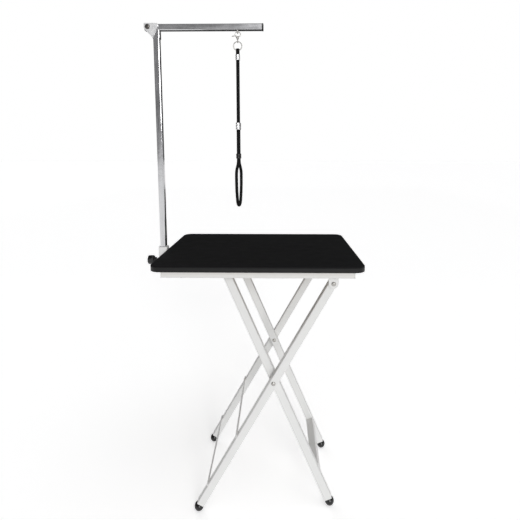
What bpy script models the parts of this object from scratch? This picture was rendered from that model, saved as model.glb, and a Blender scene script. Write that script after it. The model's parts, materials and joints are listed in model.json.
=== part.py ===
"""A folding grooming table with a grooming arm and a hanging noose.

Metres, +Z up, the floor at Z = 0. X runs along the table top's long side and Y across it.
Most places are given from the point of the floor under the middle of the table top. The whole
model hangs from one empty, which moves it so that its box is centred on X = 0.
"""

from math import acos, atan2, ceil, cos, pi, radians, sin, tan

import bmesh
import bpy
from mathutils import Vector

# Driving dimensions
GAP = 0.0003  # between pieces that touch
TOP_LENGTH = 0.610
TOP_WIDTH = 0.457
TOP_HEIGHT = 0.827
TOP_CORNER = 0.030
MAT_THICK = 0.004
BOARD_THICK = 0.0127
TRIM_THICK = 0.003

RAIL_HIGH = 0.028
RAIL_WIDE = 0.020
RAIL_HALF_LENGTH = 0.279
RAIL_INNER_Y = 0.1710
CROSS_RAIL_X = 0.262
FRAME_WALL = 0.0015

LEG_SIDE = 0.025
LEG_ROUND = 0.0025
HINGE = Vector((0.2224, 0.0, 0.7593))
CROSS = Vector((0.0455, 0.0, 0.4428))
OUTER_Y = 0.1540
INNER_Y = 0.1275
OUTER_FOOT = Vector((-0.1930, 0.0, 0.0150))
INNER_FOOT = Vector((0.2281, 0.0, 0.0150))
LEG_PAST_PIVOT = 0.0120
FOOT_RADIUS = 0.0150
FOOT_NECK = 0.0135
STRAP_PLACES = (0.575, 0.765)
STRAP_SIZE = (0.003, 0.010)
BRACE_PLACE = 0.354
ROD_PLACE = 0.3514
ROD_RADIUS = 0.008
PIVOT_PIN = 0.0040
PIVOT_HEAD = 0.0068

POST_X = -0.3244
POST_SIDE = 0.019
POST_BOTTOM = 0.7735
SOCKET_SIDE = 0.028
SOCKET_BOTTOM = 0.7720
SOCKET_TOP = 0.8305
BUSH_SIDE = 0.0234
KNOB_Z = 0.7840
KNOB_RADIUS = 0.0160
KNOB_TIP_X = -0.3780
KNOB_HUB_X = -0.3505
SCREW_RADIUS = 0.0040

ARM_Z = 1.5320
ARM_LEFT = -0.3600
ARM_RIGHT = 0.0120
ARM_CAP = 0.0020
ARM_END_CAP = 0.0045
ELBOW = Vector((-0.3493, 0.0, 1.5320))
ELBOW_PLATE = 0.0020
ELBOW_BOTTOM = 1.4985
TUBE_WALL = 0.0012

NOOSE_X = -0.0695
NOOSE_TURN = radians(81.5)
STAPLE_WIRE = 0.0015
STAPLE_DROP = 0.0075
HOOK_WIRE = 0.0013
HOOK_BOW = (0.0097, 0.0073)
HOOK_NECK = 0.0042
GATE_PLACE = (-0.0050, 0.0, -0.0098)
GATE_WIRE = 0.0011
RING_Z = 1.4758
RING_RADIUS = 0.01325
RING_WIRE = 0.0015
EYE_RADIUS = 0.0046
EYE_WIRE = 0.0013
CORD_RADIUS = 0.0056
LOOP_RADIUS = 0.0050
LOOP_APART = 0.0052
CORD_PLAY = 0.0004
FERRULE_WALL = 0.0010
SLIDER_OUTLINE = (0.0072, 0.0054)
UPPER_FERRULE = (1.4323, 1.4497)
LOWER_FERRULE = (1.2154, 1.2377)
SLIDER = (1.1228, 1.1395)
CORD_JOIN_Z = 1.2270

# The noose's loop, from the lower ferrule down: (half its width, height).
LOOP_ROUTE = (
    (LOOP_APART, 1.2270),
    (LOOP_APART, 1.1900),
    (LOOP_APART, 1.1500),
    (LOOP_APART, 1.1320),
    (LOOP_APART, 1.1200),
    (0.0073, 1.1105),
    (0.0126, 1.1022),
    (0.0188, 1.0959),
    (0.0248, 1.0898),
    (0.0294, 1.0828),
    (0.0316, 1.0740),
    (0.0319, 1.0600),
    (0.0313, 1.0400),
    (0.0294, 1.0215),
    (0.0257, 1.0035),
    (0.0216, 0.9880),
    (0.0185, 0.9806),
    (0.0134, 0.9750),
    (0.0070, 0.9714),
    (0.0, 0.9702),
)

MAT_BOTTOM = TOP_HEIGHT - MAT_THICK
BOARD_TOP = MAT_BOTTOM - GAP
BOARD_BOTTOM = BOARD_TOP - BOARD_THICK
RAIL_TOP = BOARD_BOTTOM - GAP
RAIL_Z = RAIL_TOP - RAIL_HIGH / 2
ARM_BOTTOM = ARM_Z - POST_SIDE / 2
FRAME_X = -(KNOB_TIP_X + TOP_LENGTH / 2) / 2


def clear_scene():
    for thing in list(bpy.data.objects):
        bpy.data.objects.remove(thing, do_unlink=True)


def collection(name):
    made = bpy.data.collections.new(name)
    bpy.context.scene.collection.children.link(made)
    return made


def material(name, colour, roughness, metallic=0.0):
    made = bpy.data.materials.new(name)
    made.use_nodes = True
    shader = made.node_tree.nodes["Principled BSDF"]
    shader.inputs["Base Color"].default_value = (*colour, 1.0)
    shader.inputs["Roughness"].default_value = roughness
    shader.inputs["Metallic"].default_value = metallic
    made.diffuse_color = (*colour, 1.0)
    return made


clear_scene()
PARTS = collection("grooming_table")
CUTTERS = collection("cutters")

RUBBER = material("mat_rubber", (0.022, 0.022, 0.024), 0.75)
TRIM = material("edge_trim_pvc", (0.018, 0.018, 0.018), 0.5)
PLYWOOD = material("plywood", (0.55, 0.40, 0.24), 0.7)
WHITE = material("white_powder_coat", (0.82, 0.82, 0.80), 0.4)
CHROME = material("chrome", (0.62, 0.62, 0.63), 0.15, 1.0)
STEEL = material("zinc_steel", (0.55, 0.54, 0.50), 0.3, 1.0)
BLACK = material("black_plastic", (0.015, 0.015, 0.015), 0.35)
BUSH = material("white_plastic", (0.80, 0.80, 0.78), 0.5)
CORD = material("black_cord", (0.012, 0.012, 0.012), 0.85)
SILVER = material("ferrule_aluminium", (0.75, 0.75, 0.76), 0.3, 1.0)


def empty(name, parent=None, location=(0.0, 0.0, 0.0), rotation=(0.0, 0.0, 0.0)):
    made = bpy.data.objects.new(name, None)
    made.empty_display_size = 0.03
    made.location = location
    made.rotation_euler = rotation
    made.parent = parent
    PARTS.objects.link(made)
    return made


def placed(name, data, parent, location, rotation, finish):
    made = bpy.data.objects.new(name, data)
    made.location = location
    made.rotation_euler = rotation
    made.parent = parent
    data.materials.append(finish)
    PARTS.objects.link(made)
    return made


def as_mesh(obj):
    """The curve object as a mesh object of the same name and place, with its caps welded."""
    bpy.context.view_layer.update()
    graph = bpy.context.evaluated_depsgraph_get()
    mesh = bpy.data.meshes.new_from_object(obj.evaluated_get(graph))
    shell = bmesh.new()
    shell.from_mesh(mesh)
    bmesh.ops.remove_doubles(shell, verts=shell.verts, dist=0.00002)
    shell.to_mesh(mesh)
    shell.free()
    name = obj.name
    made = bpy.data.objects.new("welded", mesh)
    made.location = obj.location
    made.rotation_euler = obj.rotation_euler
    made.parent = obj.parent
    bpy.data.objects.remove(obj, do_unlink=True)
    made.name = name
    PARTS.objects.link(made)
    return made


def rounded_rectangle(wide, high, radius, steps):
    """The outline of a rectangle with round corners, about its middle."""
    points = []
    for quarter, (side_x, side_y) in enumerate(((1, 1), (-1, 1), (-1, -1), (1, -1))):
        for step in range(steps + 1):
            turn = (quarter + step / steps) * pi / 2
            x = side_x * (wide / 2 - radius) + radius * cos(turn)
            y = side_y * (high / 2 - radius) + radius * sin(turn)
            points.append((x, y))
    return points


def circle(radius, steps, centre=(0.0, 0.0)):
    turns = [2 * pi * step / steps for step in range(steps)]
    return [(centre[0] + radius * cos(t), centre[1] + radius * sin(t)) for t in turns]


def stadium(radius, apart, steps):
    """The outline of a slot: two half circles whose centres are apart from the middle along X."""
    points = []
    for side in (1, -1):
        for step in range(steps + 1):
            turn = (step / steps - 0.5) * pi + (0 if side > 0 else pi)
            points.append((side * apart + radius * cos(turn), radius * sin(turn)))
    return points


def prism(name, outlines, thick, parent, finish, location=(0, 0, 0), rotation=(0, 0, 0)):
    """A flat outline with any holes, made thick to both sides of its plane."""
    curve = bpy.data.curves.new(name, "CURVE")
    curve.dimensions = "2D"
    curve.fill_mode = "BOTH"
    curve.extrude = thick / 2
    for outline in outlines:
        spline = curve.splines.new("POLY")
        spline.points.add(len(outline) - 1)
        for point, (x, y) in zip(spline.points, outline):
            point.co = (x, y, 0.0, 1.0)
        spline.use_cyclic_u = True
    return as_mesh(placed(name, curve, parent, location, rotation, finish))


def square_tube(name, side, wall, length, parent, finish, location, rotation=(0, 0, 0)):
    """A square tube along its own Z, centred on its place. side may be (across X, across Y)."""
    wide, high = side if isinstance(side, tuple) else (side, side)
    outer = rounded_rectangle(wide, high, LEG_ROUND, 3)
    inner = rounded_rectangle(wide - 2 * wall, high - 2 * wall, LEG_ROUND - wall + 0.0002, 2)
    return prism(name, (outer, inner), length, parent, finish, location, rotation)


def block(name, size, parent, finish, location, rotation=(0, 0, 0), bevel=0.0008):
    mesh = bpy.data.meshes.new(name)
    shell = bmesh.new()
    bmesh.ops.create_cube(shell, size=1.0)
    bmesh.ops.scale(shell, vec=size, verts=shell.verts)
    shell.to_mesh(mesh)
    shell.free()
    made = placed(name, mesh, parent, location, rotation, finish)
    rounding = made.modifiers.new("edges", "BEVEL")
    rounding.width = bevel
    rounding.segments = 2
    return made


def turned(name, profile, steps, parent, finish, location, rotation=(0, 0, 0)):
    """A profile of (radius, height), from the top down its outer side, turned about Z."""
    mesh = bpy.data.meshes.new(name)
    points = [(radius, 0.0, height) for radius, height in profile]
    edges = [(i, i + 1) for i in range(len(points) - 1)]
    mesh.from_pydata(points, edges, [])
    made = placed(name, mesh, parent, location, rotation, finish)
    screw = made.modifiers.new("turn", "SCREW")
    screw.steps = steps
    screw.render_steps = steps
    screw.use_merge_vertices = True
    screw.merge_threshold = 0.00005
    return made


def wire(name, points, radius, parent, finish, location=(0, 0, 0), cyclic=False):
    """A round wire or cord along points."""
    curve = bpy.data.curves.new(name, "CURVE")
    curve.dimensions = "3D"
    curve.bevel_depth = radius
    curve.bevel_resolution = 2
    curve.use_fill_caps = not cyclic
    spline = curve.splines.new("POLY")
    spline.points.add(len(points) - 1)
    for point, place in zip(spline.points, points):
        point.co = (*place, 1.0)
    spline.use_cyclic_u = cyclic
    return as_mesh(placed(name, curve, parent, location, (0, 0, 0), finish))


def cut(obj, cutters, operation="DIFFERENCE"):
    for number, cutter in enumerate(cutters):
        modifier = obj.modifiers.new(f"cut_{number}", "BOOLEAN")
        modifier.operation = operation
        modifier.object = cutter


def drill(name, radius, length, parent, location, rotation=(pi / 2, 0, 0), steps=20):
    """A cylinder that cuts a hole, along Y unless it is turned."""
    mesh = bpy.data.meshes.new(name)
    shell = bmesh.new()
    bmesh.ops.create_cone(
        shell, cap_ends=True, segments=steps, radius1=radius, radius2=radius, depth=length
    )
    shell.to_mesh(mesh)
    shell.free()
    made = bpy.data.objects.new(name, mesh)
    made.location = location
    made.rotation_euler = rotation
    made.parent = parent
    made.hide_render = True
    made.display_type = "WIRE"
    CUTTERS.objects.link(made)
    return made


def smooth_route(route, step):
    """Points about step apart on the Catmull-Rom curve through a route."""
    ends = [2 * route[0] - route[1], *route, 2 * route[-1] - route[-2]]
    points = []
    for before, here, there, after in zip(ends, ends[1:], ends[2:], ends[3:]):
        count = max(1, ceil((there - here).length / step))
        for i in range(count):
            t = i / count
            points.append(
                0.5
                * (
                    2 * here
                    + (there - before) * t
                    + (2 * before - 5 * here + 4 * there - after) * t**2
                    + (3 * here - before - 3 * there + after) * t**3
                )
            )
    return [*points, route[-1]]


def round_top_edge(obj, radius, segments):
    """Rounds the edges round the top face of an upright prism."""
    shell = bmesh.new()
    shell.from_mesh(obj.data)
    top = max(v.co.z for v in shell.verts)
    rim = [
        e
        for e in shell.edges
        if all(abs(v.co.z - top) < 1e-6 for v in e.verts)
        and any(abs(f.normal.z) < 0.5 for f in e.link_faces)
    ]
    bmesh.ops.bevel(
        shell, geom=rim, offset=radius, segments=segments, profile=0.5, affect="EDGES"
    )
    shell.to_mesh(obj.data)
    shell.free()


ROOT = empty("grooming_table", location=(FRAME_X, 0, 0))


# The top: a plywood board with a PVC edge, and a rubber mat over both
def make_top():
    full = rounded_rectangle(TOP_LENGTH, TOP_WIDTH, TOP_CORNER, 8)
    inset = TRIM_THICK
    inner = rounded_rectangle(
        TOP_LENGTH - 2 * inset, TOP_WIDTH - 2 * inset, TOP_CORNER - inset, 8
    )
    inset = TRIM_THICK + GAP
    board = rounded_rectangle(
        TOP_LENGTH - 2 * inset, TOP_WIDTH - 2 * inset, TOP_CORNER - inset, 8
    )
    board_z = (BOARD_TOP + BOARD_BOTTOM) / 2
    prism("table_board", (board,), BOARD_THICK, ROOT, PLYWOOD, (0, 0, board_z))
    prism("edge_trim", (full, inner), BOARD_THICK, ROOT, TRIM, (0, 0, board_z))
    mat_z = TOP_HEIGHT - MAT_THICK / 2
    mat = prism("top_mat", (full,), MAT_THICK, ROOT, RUBBER, (0, 0, mat_z))
    round_top_edge(mat, 0.0034, 3)


# The frame under the board: two long rails with end caps, and two cross rails
def make_under_frame():
    rail_y = RAIL_INNER_Y + RAIL_WIDE / 2
    along_x = (0, pi / 2, 0)
    along_y = (pi / 2, 0, 0)
    for side, where in ((-1, "front"), (1, "back")):
        square_tube(
            f"rail_{where}",
            (RAIL_HIGH, RAIL_WIDE),
            FRAME_WALL,
            2 * RAIL_HALF_LENGTH,
            ROOT,
            WHITE,
            (0, side * rail_y, RAIL_Z),
            along_x,
        )
        for end, name in ((-1, "left"), (1, "right")):
            block(
                f"rail_cap_{where}_{name}",
                (0.0020, RAIL_WIDE - 0.0006, RAIL_HIGH - 0.0006),
                ROOT,
                BUSH,
                (end * (RAIL_HALF_LENGTH + GAP + 0.0010), side * rail_y, RAIL_Z),
            )
    for end, name in ((-1, "left"), (1, "right")):
        square_tube(
            f"cross_rail_{name}",
            (RAIL_WIDE, RAIL_HIGH - 0.0004),
            FRAME_WALL,
            2 * (RAIL_INNER_Y - GAP),
            ROOT,
            WHITE,
            (end * CROSS_RAIL_X, 0, RAIL_Z),
            along_y,
        )


# The ears that hold the outer legs, and the catches that the inner legs' rod sits in. A catch
# stops the rod from going left, and is open to the right and upwards, the way the legs close.
def make_brackets():
    ear_thick = 0.0030
    ear_half = 0.0145
    ear_high = RAIL_TOP - 0.004 - HINGE.z
    drop = [
        (ear_half * cos(t), ear_half * sin(t))
        for t in (pi + pi * i / 12 for i in range(13))
    ]
    ear = [(ear_half, ear_high), (-ear_half, ear_high), *drop]
    hole = circle(PIVOT_PIN + GAP, 16)
    upright = (pi / 2, 0, 0)
    ear_y = RAIL_INNER_Y - GAP - ear_thick / 2
    for side, where in ((-1, "front"), (1, "back")):
        place = (HINGE.x, side * ear_y, HINGE.z)
        prism(f"hinge_ear_{where}", (ear, hole), ear_thick, ROOT, WHITE, place, upright)

    rod = CROSS + ROD_PLACE * inner_up()
    roof = ROD_RADIUS + 0.0012
    board = BOARD_BOTTOM - GAP - rod.z
    slope = radians(28)
    arc = [pi / 2 + slope + (pi / 2 - slope) * i / 6 for i in range(7)]
    roof_x = 0.016
    roof_z = roof / cos(slope) + roof_x * tan(slope)
    catch = [
        (roof_x, board),
        (roof_x, roof_z),
        *[(roof * cos(t), roof * sin(t)) for t in arc],
        (-roof, -0.010),
        (-roof - 0.004, -0.012),
        (-roof - 0.010, -0.004),
        (-0.026, 0.016),
        (-0.026, board),
    ]
    for side, where in ((-1, "front"), (1, "back")):
        place = (rod.x, side * 0.100, rod.z)
        prism(f"rod_catch_{where}", (catch,), 0.003, ROOT, WHITE, place, upright)


def outer_down():
    return (OUTER_FOOT - HINGE).normalized()


def inner_up():
    return (CROSS - INNER_FOOT).normalized()


def rivet(name, grip, parent, location):
    """A pivot rivet along Y with a domed head at each end. grip is the thickness it holds."""
    half = grip / 2 + GAP
    profile = [
        (0.0, half + 0.0036),
        (0.0030, half + 0.0034),
        (0.0052, half + 0.0024),
        (PIVOT_HEAD, half + 0.0008),
        (PIVOT_HEAD, half),
        (PIVOT_PIN, half),
    ]
    both = [*profile, *[(radius, -height) for radius, height in reversed(profile)]]
    return turned(name, both, 20, parent, STEEL, location, (pi / 2, 0, 0))


def foot(name, parent, location):
    """A round black foot on the end of a leg, with a plug that goes up into the tube."""
    plug_top = 0.030
    plug = 0.0100
    collar = 0.0122
    start = acos(0.0096 / FOOT_RADIUS)
    steps = 8
    ball = []
    for i in range(steps + 1):
        turn = start + (pi - start) * i / steps
        ball.append((FOOT_RADIUS * sin(turn) if i < steps else 0.0, FOOT_RADIUS * cos(turn)))
    profile = [
        (0.0, plug_top),
        (plug, plug_top),
        (plug, FOOT_NECK - GAP),
        (collar, FOOT_NECK - GAP),
        (collar, 0.0112),
        *ball,
    ]
    return turned(name, profile, 24, parent, BLACK, location)


# The outer legs hang from the hinge ears. Their empty's own -Z runs down the legs.
def make_outer_legs():
    down = outer_down()
    lean = atan2(-down.x, -down.z)
    length = (OUTER_FOOT - HINGE).length
    frame = empty("outer_legs_axis", ROOT, HINGE, (0, lean, 0))
    tube_length = LEG_PAST_PIVOT + length - FOOT_NECK
    tube_z = LEG_PAST_PIVOT - tube_length / 2
    cross_z = -(CROSS - HINGE).length
    for side, where in ((-1, "front"), (1, "back")):
        y = side * OUTER_Y
        leg = square_tube(
            f"outer_leg_{where}", LEG_SIDE, FRAME_WALL, tube_length, frame, WHITE, (0, y, tube_z)
        )
        holes = [
            drill(f"cut_hinge_{where}", PIVOT_PIN + GAP, 0.04, frame, (0, y, 0)),
            drill(f"cut_outer_cross_{where}", PIVOT_PIN + GAP, 0.04, frame, (0, y, cross_z)),
        ]
        cut(leg, holes)
        foot(f"outer_foot_{where}", frame, (0, y, -length))
    thick, wide = STRAP_SIZE
    strap_x = -(LEG_SIDE / 2 + GAP + thick / 2)
    for place, name in zip(STRAP_PLACES, ("upper", "lower")):
        block(
            f"outer_strap_{name}",
            (thick, 2 * OUTER_Y + LEG_SIDE - 0.002, wide),
            frame,
            WHITE,
            (strap_x, 0, -place),
            bevel=0.0005,
        )


# The inner legs turn on the outer legs at the cross. Their empty's own -Z runs down the legs.
def make_inner_legs():
    up = inner_up()
    lean = atan2(up.x, up.z)
    length = (INNER_FOOT - CROSS).length
    frame = empty("inner_legs_axis", ROOT, CROSS, (0, lean, 0))
    top = ROD_PLACE + LEG_PAST_PIVOT
    tube_length = top + length - FOOT_NECK
    for side, where in ((-1, "front"), (1, "back")):
        y = side * INNER_Y
        leg = square_tube(
            f"inner_leg_{where}",
            LEG_SIDE,
            FRAME_WALL,
            tube_length,
            frame,
            WHITE,
            (0, y, top - tube_length / 2),
        )
        cut(leg, [drill(f"cut_inner_cross_{where}", PIVOT_PIN + GAP, 0.04, frame, (0, y, 0))])
        foot(f"inner_foot_{where}", frame, (0, y, -length))
    between = 2 * (INNER_Y - LEG_SIDE / 2 - GAP)
    square_tube(
        "inner_brace",
        LEG_SIDE,
        FRAME_WALL,
        between,
        frame,
        WHITE,
        (0, 0, -BRACE_PLACE),
        (pi / 2, 0, 0),
    )
    ends = [(0, -between / 2, ROD_PLACE), (0, between / 2, ROD_PLACE)]
    rod = [Vector(ends[0]).lerp(Vector(ends[1]), i / 4) for i in range(5)]
    wire("top_rod", rod, ROD_RADIUS, frame, STEEL)


# The rivets that the legs turn on
def make_pivots():
    for side, where in ((-1, "front"), (1, "back")):
        ear = RAIL_INNER_Y - GAP
        leg = OUTER_Y - LEG_SIDE / 2
        middle = side * (ear + leg) / 2
        rivet(f"hinge_rivet_{where}", ear - leg, ROOT, (HINGE.x, middle, HINGE.z))
        outside = OUTER_Y + LEG_SIDE / 2
        inside = INNER_Y - LEG_SIDE / 2
        middle = side * (outside + inside) / 2
        rivet(f"cross_rivet_{where}", outside - inside, ROOT, (CROSS.x, middle, CROSS.z))
        washer_thick = OUTER_Y - INNER_Y - LEG_SIDE - 2 * GAP
        washer_y = side * (OUTER_Y + INNER_Y) / 2
        prism(
            f"cross_washer_{where}",
            (circle(0.009, 20), circle(PIVOT_PIN + GAP, 16)),
            washer_thick,
            ROOT,
            BUSH,
            (CROSS.x, washer_y, CROSS.z),
            (pi / 2, 0, 0),
        )


# The socket on the left edge: a white tube with a plastic bush, a bracket and a boss
def make_socket():
    high = SOCKET_TOP - SOCKET_BOTTOM
    middle = (SOCKET_TOP + SOCKET_BOTTOM) / 2
    hole = drill(
        "cut_socket", SCREW_RADIUS + GAP, 0.030, ROOT, (POST_X - 0.017, 0, KNOB_Z), (0, pi / 2, 0)
    )
    wall = (SOCKET_SIDE - BUSH_SIDE) / 2 - GAP
    socket = square_tube(
        "arm_socket", SOCKET_SIDE, wall, high, ROOT, WHITE, (POST_X, 0, middle)
    )
    cut(socket, [hole])
    bush_wall = (BUSH_SIDE - POST_SIDE) / 2 - GAP
    bush = square_tube(
        "post_bush", BUSH_SIDE, bush_wall, high - 0.0010, ROOT, BUSH, (POST_X, 0, middle)
    )
    cut(bush, [hole])
    left = -CROSS_RAIL_X - RAIL_WIDE / 2 - GAP
    right = POST_X + SOCKET_SIDE / 2 + GAP
    block(
        "socket_bracket",
        (left - right, 0.036, 0.022),
        ROOT,
        WHITE,
        ((left + right) / 2, 0, RAIL_Z),
    )
    boss_thick = 0.0065
    boss_x = POST_X - SOCKET_SIDE / 2 - GAP - boss_thick / 2
    prism(
        "screw_boss",
        (circle(0.0078, 6), circle(SCREW_RADIUS + GAP, 16)),
        boss_thick,
        ROOT,
        STEEL,
        (boss_x, 0, KNOB_Z),
        (0, pi / 2, 0),
    )


# The screw that clamps the post, and its knob, along X
def make_clamp():
    axis = empty("clamp_knob_axis", ROOT, (KNOB_HUB_X, 0, KNOB_Z), (0, -pi / 2, 0))
    tip = POST_X - POST_SIDE / 2 - GAP - KNOB_HUB_X
    screw = [
        (0.0, -GAP),
        (SCREW_RADIUS, -GAP),
        (SCREW_RADIUS, 0.0015 - tip),
        (SCREW_RADIUS - 0.0012, -tip),
        (0.0, -tip),
    ]
    turned("clamp_screw", screw, 16, axis, STEEL, (0, 0, 0))
    high = KNOB_HUB_X - KNOB_TIP_X
    knob = [
        (0.0, high),
        (KNOB_RADIUS - 0.005, high),
        (KNOB_RADIUS - 0.0015, high - 0.0015),
        (KNOB_RADIUS, high - 0.005),
        (KNOB_RADIUS, 0.0110),
        (KNOB_RADIUS - 0.0015, 0.0085),
        (0.0090, 0.0070),
        (0.0085, 0.0),
        (0.0, 0.0),
    ]
    turned("clamp_knob", knob, 24, axis, BLACK, (0, 0, 0))


# The post and the elbow plates on its top
def make_post():
    axis = empty("post_axis", ROOT, (POST_X, 0, POST_BOTTOM))
    high = ARM_BOTTOM - GAP - POST_BOTTOM
    plug_thick = 0.002
    square_tube(
        "arm_post",
        POST_SIDE,
        TUBE_WALL,
        high - plug_thick - GAP,
        axis,
        CHROME,
        (0, 0, (high + plug_thick + GAP) / 2),
    )
    block(
        "post_plug",
        (POST_SIDE - 0.0004, POST_SIDE - 0.0004, plug_thick),
        axis,
        BLACK,
        (0, 0, plug_thick / 2),
        bevel=0.0004,
    )
    sleeve = POST_SIDE + 2 * (GAP + TUBE_WALL)
    bottom = ELBOW_BOTTOM - POST_BOTTOM
    square_tube(
        "elbow_sleeve",
        sleeve,
        TUBE_WALL,
        high - bottom,
        axis,
        CHROME,
        (0, 0, (high + bottom) / 2),
    )
    outline = [
        (-0.0361, 0.0108),
        (0.0061, 0.0108),
        (0.0073, 0.0010),
        (-0.0085, -0.0325),
        (-0.0110, -0.0320),
        (-0.0361, -0.0052),
    ]
    hole = circle(SCREW_RADIUS + GAP, 16, (ELBOW.x - POST_X, 0.0))
    plate_y = sleeve / 2 + GAP + ELBOW_PLATE / 2
    plate_z = ARM_Z - POST_BOTTOM
    for side, where in ((-1, "near"), (1, "far")):
        prism(
            f"elbow_plate_{where}",
            (outline, hole),
            ELBOW_PLATE,
            axis,
            CHROME,
            (0, side * plate_y, plate_z),
            (pi / 2, 0, 0),
        )
    outside = plate_y + ELBOW_PLATE / 2 + GAP
    nut_thick = 0.005
    bolt = [
        (0.0, outside + 0.0042),
        (0.0040, outside + 0.0040),
        (0.0070, outside + 0.0028),
        (0.0078, outside + 0.0010),
        (0.0078, outside),
        (SCREW_RADIUS, outside),
        (SCREW_RADIUS, -outside - nut_thick - 0.0012),
        (SCREW_RADIUS - 0.001, -outside - nut_thick - 0.0020),
        (0.0, -outside - nut_thick - 0.0020),
    ]
    place = (ELBOW.x - POST_X, 0, plate_z)
    turned("elbow_bolt", bolt, 20, axis, STEEL, place, (pi / 2, 0, 0))
    prism(
        "elbow_nut",
        (circle(0.0075, 6), circle(SCREW_RADIUS + GAP, 16)),
        nut_thick,
        axis,
        STEEL,
        (place[0], outside + nut_thick / 2, plate_z),
        (pi / 2, 0, 0),
    )


# The arm folds up and over on the elbow bolt. The staple under it holds the noose's hook.
def make_arm():
    axis = empty("arm_axis", ROOT, ELBOW)
    left = ARM_LEFT + ARM_CAP + GAP
    right = ARM_RIGHT - ARM_END_CAP - GAP
    tube = square_tube(
        "arm_tube",
        POST_SIDE,
        TUBE_WALL,
        right - left,
        axis,
        CHROME,
        ((left + right) / 2 - ELBOW.x, 0, 0),
        (0, pi / 2, 0),
    )
    cut(tube, [drill("cut_elbow", SCREW_RADIUS + GAP, 0.03, axis, (0, 0, 0))])
    for name, x, thick in (
        ("inner", ARM_LEFT + ARM_CAP / 2, ARM_CAP),
        ("outer", ARM_RIGHT - ARM_END_CAP / 2, ARM_END_CAP),
    ):
        block(
            f"arm_cap_{name}",
            (thick, POST_SIDE, POST_SIDE),
            axis,
            BLACK,
            (x - ELBOW.x, 0, 0),
            bevel=0.0006,
        )
    half = 0.0055
    foot_z = -GAP
    bend = 0.0022
    low = -STAPLE_DROP
    arch = [
        (0, -half, foot_z),
        (0, -half, low + bend),
        (0, -half + 0.3 * bend, low + 0.3 * bend),
        (0, -half + bend, low),
        (0, half - bend, low),
        (0, half - 0.3 * bend, low + 0.3 * bend),
        (0, half, low + bend),
        (0, half, foot_z),
    ]
    place = (NOOSE_X - ELBOW.x, 0, ARM_BOTTOM - ELBOW.z)
    wire("noose_staple", arch, STAPLE_WIRE, axis, STEEL, place)


# The snap hook: a bow with a sprung gate on its left, and a neck for the swivel
def make_hook():
    staple_z = ARM_BOTTOM - STAPLE_DROP
    axis = empty("hook_axis", ROOT, (NOOSE_X, 0, staple_z))
    bow_x, bow_z = HOOK_BOW
    bow_top = STAPLE_WIRE + GAP + HOOK_WIRE
    middle = bow_top - bow_z
    turns = [radians(142 - (142 + 122) * i / 24) for i in range(25)]
    bow = [(bow_x * cos(t), 0, middle + bow_z * sin(t)) for t in turns]
    hook = wire("snap_hook", bow, HOOK_WIRE, axis, STEEL)
    neck_top = middle - bow_z + 0.0008
    neck_bottom = neck_top - 0.0048
    neck = turned(
        "neck",
        [
            (0.0, neck_top),
            (HOOK_NECK - 0.0012, neck_top),
            (HOOK_NECK, neck_top - 0.0012),
            (HOOK_NECK, neck_bottom),
            (0.0, neck_bottom),
        ],
        16,
        axis,
        STEEL,
        (0, 0, 0),
    )
    lug = drill("lug", 0.0024, 0.0036, axis, GATE_PLACE, steps=16)
    PARTS.objects.unlink(neck)
    CUTTERS.objects.link(neck)
    neck.hide_render = True
    neck.display_type = "WIRE"
    cut(hook, [neck, lug], "UNION")

    gate_axis = empty("gate_axis", axis, GATE_PLACE)
    nose = (bow_x * cos(turns[0]), bow_z * sin(turns[0]) + middle)
    tip = Vector((nose[0] - 0.0004 - GATE_PLACE[0], 0, nose[1] - 0.0022 - GATE_PLACE[2]))
    root = Vector((-0.0030, 0, 0.0020))
    gate = [tip, tip.lerp(root, 0.35), tip.lerp(root, 0.7), root]
    lever = [Vector((-0.0062, 0, 0.0010)), Vector((-0.0136, 0, 0.0004))]
    wire("snap_gate", [*gate, *lever], GATE_WIRE, gate_axis, STEEL)
    return neck_bottom + staple_z


# Below the hook: the swivel's eye, which spins, and the ring that hangs in it
def make_swivel(neck_bottom):
    ring_top = RING_Z + RING_RADIUS
    eye_z = ring_top - RING_WIRE - GAP + EYE_RADIUS - EYE_WIRE
    axis = empty("swivel_axis", ROOT, (NOOSE_X, 0, eye_z))
    around = circle(EYE_RADIUS, 20)
    eye_points = [(0, y, z) for y, z in around]
    eye = wire("swivel_eye", eye_points, EYE_WIRE, axis, STEEL, cyclic=True)
    stem_top = neck_bottom - GAP - eye_z
    stem_bottom = EYE_RADIUS - EYE_WIRE * 0.4
    stem = turned(
        "stem",
        [
            (0.0, stem_top),
            (0.0036, stem_top),
            (0.0036, stem_top - 0.0010),
            (0.0024, stem_top - 0.0014),
            (0.0024, stem_bottom),
            (0.0, stem_bottom),
        ],
        16,
        axis,
        STEEL,
        (0, 0, 0),
    )
    PARTS.objects.unlink(stem)
    CUTTERS.objects.link(stem)
    stem.hide_render = True
    stem.display_type = "WIRE"
    cut(eye, [stem], "UNION")

    hang = empty("ring_axis", ROOT, (NOOSE_X, 0, ring_top))
    ring = [(x, 0, z - RING_RADIUS) for x, z in circle(RING_RADIUS, 36)]
    wire("noose_ring", ring, RING_WIRE, hang, STEEL, cyclic=True)


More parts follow.
